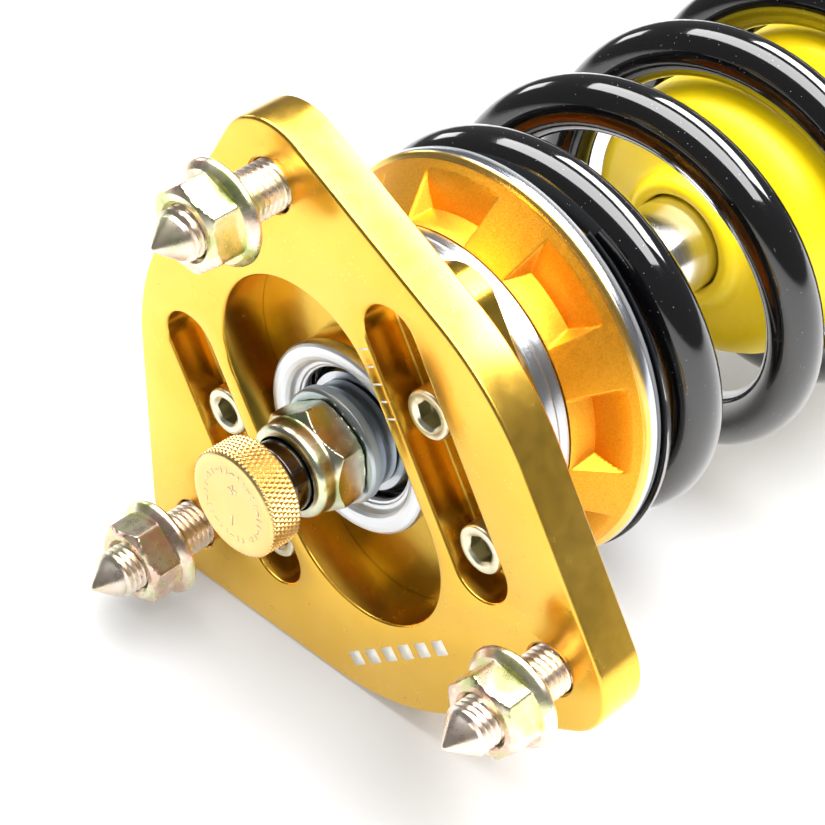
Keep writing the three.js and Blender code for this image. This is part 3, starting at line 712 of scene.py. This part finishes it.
def spring_rise(t):
    """Station gained by the wire's centre after t turns: closed turns at each end, open between."""
    wire, turns = SPRING["wire"], SPRING["turns"]
    dead = SPRING_DEAD
    length = SPRING["to"] - SPRING["from"] - 2 * wire + 2 * SPRING_GROUND * dead
    reach = turns - 2 * SPRING_CLOSED
    pitch = (length - 2 * SPRING_CLOSED * dead) / reach

    def lead(u):
        return 0 if u <= 0 else (u * u / (2 * SPRING_EASE) if u < SPRING_EASE else u - SPRING_EASE / 2)
    gain = (pitch - dead) * reach / (reach - SPRING_EASE)
    last = turns - SPRING_CLOSED - SPRING_EASE
    return dead * t + gain * (lead(t - SPRING_CLOSED) - lead(t - last))


def build_spring():
    per, sides = 96, 28
    wire = SPRING["wire"]
    start = SPRING["from"] + wire - SPRING_GROUND * SPRING_DEAD
    count = round(SPRING["turns"] * per)
    verts, faces = [], []
    for i in range(count + 1):
        t = SPRING["turns"] * i / count
        turn = math.radians(SPRING["tip"]) + TAU * t
        for k in range(sides):
            u = TAU * k / sides
            a = start + spring_rise(t) + wire * math.sin(u)
            r = SPRING["mean"] + wire * math.cos(u)
            a = min(max(a, SPRING["from"]), SPRING["to"])
            verts.append((a, r * math.cos(turn), r * math.sin(turn)))
        if i:
            low, high = (i - 1) * sides, i * sides
            faces += [(low + k, high + k, high + (k + 1) % sides, low + (k + 1) % sides)
                      for k in range(sides)]
    faces.append(tuple(range(sides)))
    faces.append(tuple(range(count * sides, (count + 1) * sides)))
    spring = make_object("spring", verts, faces, STRUT, BLACK, "damper_body", ("coil_spring",), 40)
    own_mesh(spring)


def build_boot():
    front = [(96.4, 10.3), (95.5, 10.6), (95.1, 11.2), (95.0, 12.0), (95.2, 12.7), (95.8, 13.3),
             (96.8, 13.8), (98.2, 14.5), (99.1, 16), (99.7, 20), (100.4, 23), (101.6, 25.4),
             (103.4, 27.3), (106, 28.6), (109, 29.3), (113, 29.5), (117, 29.3)]
    folds = []
    for base in (121, 151):
        for i in range(13):
            f = i / 12
            dip = math.sin(math.pi * f)
            folds.append((base + 16 * f, 29.2 - 6.6 * dip ** 2))
        if base == 121:
            folds += [(139.5, 29.5), (144, 29.6), (148.5, 29.4)]
    tail = [(171, 29.2), (176, 29), (180, 28.4), (186, 27.7), (203.4, 27.6), (204, 27.3), (204, 26.0)]
    outer = front + folds + tail
    inner = [(a + 0.7, max(r - 1.6, 10.4)) for a, r in (front[8:] + folds + tail[:3])][::-1]
    verts, faces = polar(outer + [(186, 26.0)] + inner + [(98.6, 12.0), (98, 10.3)], 160)
    boot = make_object("bellows", verts, faces, STRUT, YELLOW, "damper_body", ("dust_boot",), 50)
    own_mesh(boot)
    bumps = [(151, 10.5), (151, 14.5)]
    bumps += [(152 + 41 * i / 60, 16.6 + 3.6 * (i / 60) + 1.9 * math.sin(TAU * 3.2 * i / 60 - 1.2))
              for i in range(61)]
    lathe("bump_rubber", bumps + [(194, 20.5), (194, 10.5)], YELLOW, "damper_body", ("bump_stop",), 96)


# ---- damper body, perch and rings ---------------------------------------------------------------
def build_damper():
    tip = [(199.9, 21.3), (199.9, 24.4), (200.3, 24.9)]
    threaded("damper_sleeve", True, 24.75, 25.46, 2.0, 206, 398, STRUT, SLEEVE, "damper_body",
             ("damper_tube",), 128, 8, tip + [(200.8, 25.2), (205.4, 25.2)],
             [(398.5, 24.9), (403.5, 24.9), (404, 24.5), (404, 21.3)])
    lathe("gland", [(195.5, 14.2), (195.5, 23.6), (196.2, 24.6), (199.6, 24.8), (199.6, 21.0),
                    (208, 20.9), (208, 14.6), (197, 14.4)], DARK, "damper_body", ("gland_nut",), 128)
    lathe("end_cap", [(396, 0), (396, 20.9), (404.3, 20.9), (404.3, 24.5), (407, 24.5), (407.5, 24),
                      (407.5, 12), (406.7, 11.4), (406.7, 0)], STEEL, "damper_body", ("base_cap",), 128)


def notched(name, outline, low, high, material, body, replaces, deep=31.2, edge=0.35):
    """Turned ring with six spanner notches between stations low and high."""
    half = 3.1

    def radius(t, a, r, i):
        if not (low <= a <= high) or r <= deep:
            return a, r
        away = abs((t - math.pi / 2 + TAU / 12) % (TAU / 6) - TAU / 12) * r
        f = min(max((away - half) / 0.35, 0), 1)
        return a, deep + (r - deep) * f
    verts, faces = polar(rounded(outline, edge), 720, True, radius)
    make_object(name, verts, faces, STRUT, material, body, replaces, 32)


def build_rings():
    notched("spring_perch", [(228, BORE_R), (228, 29.8), (229, 30.4), (234.2, 30.4), (234.2, 42.6),
                             (235, 43.4), (238.2, 43.4), (239.4, 42.4), (239.6, 34.6), (240.4, 34),
                             (240.5, 34), (248, 34), (248, BORE_R)], 240.35, 250, GOLD, "damper_body",
            ("lower_perch",))
    notched("perch_ring", [(248.5, BORE_R), (248.5, 34), (257.5, 34), (257.5, BORE_R)], 248, 258, GOLD,
            "perch_lock", ("perch_lock_ring",))
    notched("height_ring", [(319, BORE_R), (319, 34), (328, 34), (328, BORE_R)], 318, 329, GOLD,
            "bracket_lock", ("bracket_lock_ring",))


def box_verts(low, high):
    x, y, z = zip(low, high)
    verts = [(x[i], y[j], z[k]) for i in (0, 1) for j in (0, 1) for k in (0, 1)]
    faces = [(0, 1, 3, 2), (4, 6, 7, 5), (0, 4, 5, 1), (2, 3, 7, 6), (0, 2, 6, 4), (1, 5, 7, 3)]
    return verts, faces


def loose(name, verts, faces, place):
    """A helper mesh that isn't a piece: it only cuts or joins, and is removed after use."""
    mesh = mesh_at(name, verts, faces, place)
    fix_normals(mesh)
    return linked(name, mesh)


def add_booleans(body, tools, operation):
    for tool in tools:
        mod = body.modifiers.new("cut", "BOOLEAN")
        mod.operation, mod.object, mod.solver = operation, tool, "EXACT"


def applied_mesh(body, tools, material):
    """body's mesh with its modifiers applied, in one material; body and its tools are removed."""
    graph = bpy.context.evaluated_depsgraph_get()
    mesh = bpy.data.meshes.new_from_object(body.evaluated_get(graph))
    for tool in [*tools, body]:
        bpy.data.objects.remove(tool)
    mesh.materials.clear()
    mesh.materials.append(material)
    mesh.shade_smooth()
    return mesh


def build_bracket():
    ground = -AXIS.z / MM + 0.02
    start, end, inner, outer = 330.0, 430.0, 13.0, 18.5
    parts = []
    for side in (-1, 1):
        profile = [(342, 8), (342, ground + 16), (348, ground), (426, ground), (end, ground + 6),
                   (end, 8)]
        ya, yb = sorted((side * inner, side * outer))
        verts = [(x, ya, z) for x, z in profile] + [(x, yb, z) for x, z in profile]
        n = len(profile)
        faces = [tuple(range(n)), tuple(range(n, 2 * n))]
        faces += [(k, (k + 1) % n, n + (k + 1) % n, n + k) for k in range(n)]
        parts.append(loose(f"cheek{side}", verts, faces, STRUT))
        ya, yb = sorted((side * (inner - 1), side * (inner + 1)))
        parts.append(loose(f"pad{side}", *box_verts((351, ya, ground), (421, yb, ground + 22)), STRUT))
    body = loose("lower_bracket_body", *polar([(start, 0), (start, 30), (end, 30), (end, 0)], 96), STRUT)
    holes = [loose("bore", *polar([(start - 5, 0), (start - 5, BORE_R), (end + 5, BORE_R), (end + 5, 0)],
                                 96), STRUT)]
    for a in (start + 32, end - 22):
        across = STRUT @ Matrix.Translation((a, 0, ground + 14)) @ Matrix.Rotation(math.pi / 2, 4, "Z")
        holes.append(loose("bolt_hole", *polar([(-30, 0), (-30, 6.2), (30, 6.2), (30, 0)], 48), across))
    add_booleans(body, parts, "UNION")
    add_booleans(body, holes, "DIFFERENCE")
    mod = body.modifiers.new("cast", "REMESH")
    mod.mode, mod.voxel_size = "VOXEL", 0.8 * MM
    mod = body.modifiers.new("soften", "SMOOTH")
    mod.factor, mod.iterations = 0.5, 5
    mesh = applied_mesh(body, parts + holes, SATIN_BLACK)
    for v in mesh.vertices:
        v.co.z = max(v.co.z, 0.0)
    piece = linked("hub_bracket", mesh)
    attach(piece, "knuckle_bracket")
    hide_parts("lower_bracket")


def build_carrier():
    low, high, corner, w = -27.0, 30.0, 8.0, 36.0
    top, bottom = -PLATE_T - 0.06, -PLATE_T - 10.3
    verts, faces = [], []

    def loop(grow, z):
        row = []
        for x, y, start in ((w, high, 0), (-w, high, 90), (-w, low, 180), (w, low, 270)):
            for i in range(9):
                t = math.radians(start + 90 * i / 8)
                cx, cy = x - math.copysign(corner, x), y - math.copysign(corner, y)
                row.append((cx + (corner + grow) * math.cos(t), cy + (corner + grow) * math.sin(t), z))
        return row
    levels = [(-0.6, top), (0, top - 0.6), (0, bottom + 0.6), (-0.6, bottom)]
    for grow, z in levels:
        verts += loop(grow, z)
    n = len(verts) // len(levels)
    for i in range(len(levels) - 1):
        faces += [(i * n + k, i * n + (k + 1) % n, (i + 1) * n + (k + 1) % n, (i + 1) * n + k)
                  for k in range(n)]
    faces += [tuple(range(n)), tuple(range(len(verts) - n, len(verts)))]
    block = loose("carrier_block", verts, faces, PLATE)
    at = PLATE @ Matrix.Translation((0, BEARING_Y, 0)) @ INWARD
    backing = [(x, y, z) for z in (top, bottom)
               for x, y in outline_points((0.0, HOLE_Y, HOLE_LEN, HOLE_R + 2.2, 32), 0)]
    n = len(backing) // 2
    sides = [(k, (k + 1) % n, n + (k + 1) % n, n + k) for k in range(n)]
    ends = loose("ends", backing, [tuple(range(n)), tuple(range(n, 2 * n)), *sides], PLATE)
    boss = loose("boss", *polar(rounded([(7.2, 0), (7.2, 19.0), (12, 19.0), (12, 0)], 0.3), 128), at)
    cuts = [loose("bore", *polar([(a, 0), (a, r), (b, r), (b, 0)], 128), at)
            for a, b, r in ((5, 19.7, 17.3), (5, 25, 15.8), (8.9, 10.3, 18.4))]
    cuts += [loose("hole", *polar([(0, 0), (0, 3.2), (30, 3.2), (30, 0)], 32),
                   PLATE @ Matrix.Translation((x, y, 0)) @ INWARD) for x, y in SCREWS]
    add_booleans(block, [ends, boss], "UNION")
    add_booleans(block, cuts, "DIFFERENCE")
    mesh = applied_mesh(block, [ends, boss, *cuts], CARRIER_GOLD)
    mesh.set_sharp_from_angle(angle=math.radians(30))
    piece = linked("carrier", mesh)
    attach(piece, "carrier_group")
    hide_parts("bearing_carrier")


# ---- camera, light and floor -----------------------------------------------------------------
# The photograph's camera: its right and down directions, its place from the ball's centre in
# millimetres, and its lens on a 36 mm sensor.
CAMERA_RIGHT, CAMERA_DOWN = (0.7072, -0.7061, 0.0357), (-0.4189, -0.4591, -0.7834)
CAMERA_FROM_BALL, CAMERA_LENS, SENSOR = (-283.44, -274.48, 312.67), 120.93, 36


def build_camera():
    right = Vector(CAMERA_RIGHT).normalized()
    down = Vector(CAMERA_DOWN)
    down = (down - right * down.dot(right)).normalized()
    forward = right.cross(down)
    data = bpy.data.cameras.new("camera")
    data.sensor_width = SENSOR
    data.lens = CAMERA_LENS
    data.clip_start, data.clip_end = 0.01, 20
    cam = linked("camera", data)
    turn = Matrix((right, -down, -forward)).transposed().to_4x4()
    eye = ball + Vector(CAMERA_FROM_BALL) * MM
    cam.matrix_world = Matrix.Translation(eye) @ turn
    bpy.context.scene.camera = cam


def area_light(name, eye, target, size, power):
    data = bpy.data.lights.new(name, "AREA")
    data.shape = "RECTANGLE"
    data.size, data.size_y = size
    data.energy = power
    obj = linked(name, data)
    aim = Vector(target) - Vector(eye)
    obj.matrix_world = Matrix.Translation(eye) @ aim.to_track_quat("-Z", "Y").to_matrix().to_4x4()
    return obj


def build_stage():
    world = bpy.data.worlds.new("studio")
    bpy.context.scene.world = world
    world.use_nodes = True
    sky = world.node_tree.nodes["Background"]
    sky.inputs["Color"].default_value = (1, 1, 1, 1)
    sky.inputs["Strength"].default_value = 0.16
    area_light("overhead", (-0.13, 0.0, 1.15), (-0.13, 0, 0), (0.72, 2.4), 40)
    area_light("side", (0.70, -0.10, 0.99), (-0.2, 0, 0.06), (1.35, 0.5), 34)
    fill = area_light("fill", (-1.0, -0.9, 1.1), (-0.1, 0, 0.05), (1.5, 1.5), 22)
    fill.visible_glossy = False
    area_light("rim", (0.0, 1.25, 0.4), (-0.13, 0, 0.08), (0.3, 0.25), 1.2)
    material, _, _ = new_material("floor", (0.44, 0.44, 0.44), 0, 0.6, Emission_Strength=0.2)
    mesh = bpy.data.meshes.new("floor")
    half = 6.0
    mesh.from_pydata([(-half, -half, 0), (half, -half, 0), (half, half, 0), (-half, half, 0)], [],
                     [(0, 1, 2, 3)])
    mesh.materials.append(material)
    floor = linked("floor", mesh)
    bpy.context.scene.view_settings.view_transform = "Standard"


build_camera()
build_stage()
build_top_plate()
build_studs()
build_flange_nuts()
build_carrier()
build_clamp_screws()
build_bearing()
build_top_nut()
build_rod()
build_knob()
build_marks()
build_seat()
build_spring()
build_boot()
build_damper()
build_rings()
build_bracket()

NODE_FINISH = {
    "circlip": DARK, "lower_washer": STEEL, "adjuster_needle": DARK, "thrust_cage": BRONZE,
    "thrust_race": STEEL, "rebound_stop": BLACK_RUBBER, "piston": STEEL,
    "piston_band": BLACK_RUBBER, "shim_stack": STEEL, "piston_nut": ZINC,
    "wiper_seal": BLACK_RUBBER, "rod_guide": BRONZE, "floating_piston": STEEL,
    "floating_seal": BLACK_RUBBER,
}
for name, material in NODE_FINISH.items():
    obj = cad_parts[name]
    obj.data.materials.clear()
    obj.data.materials.append(material)
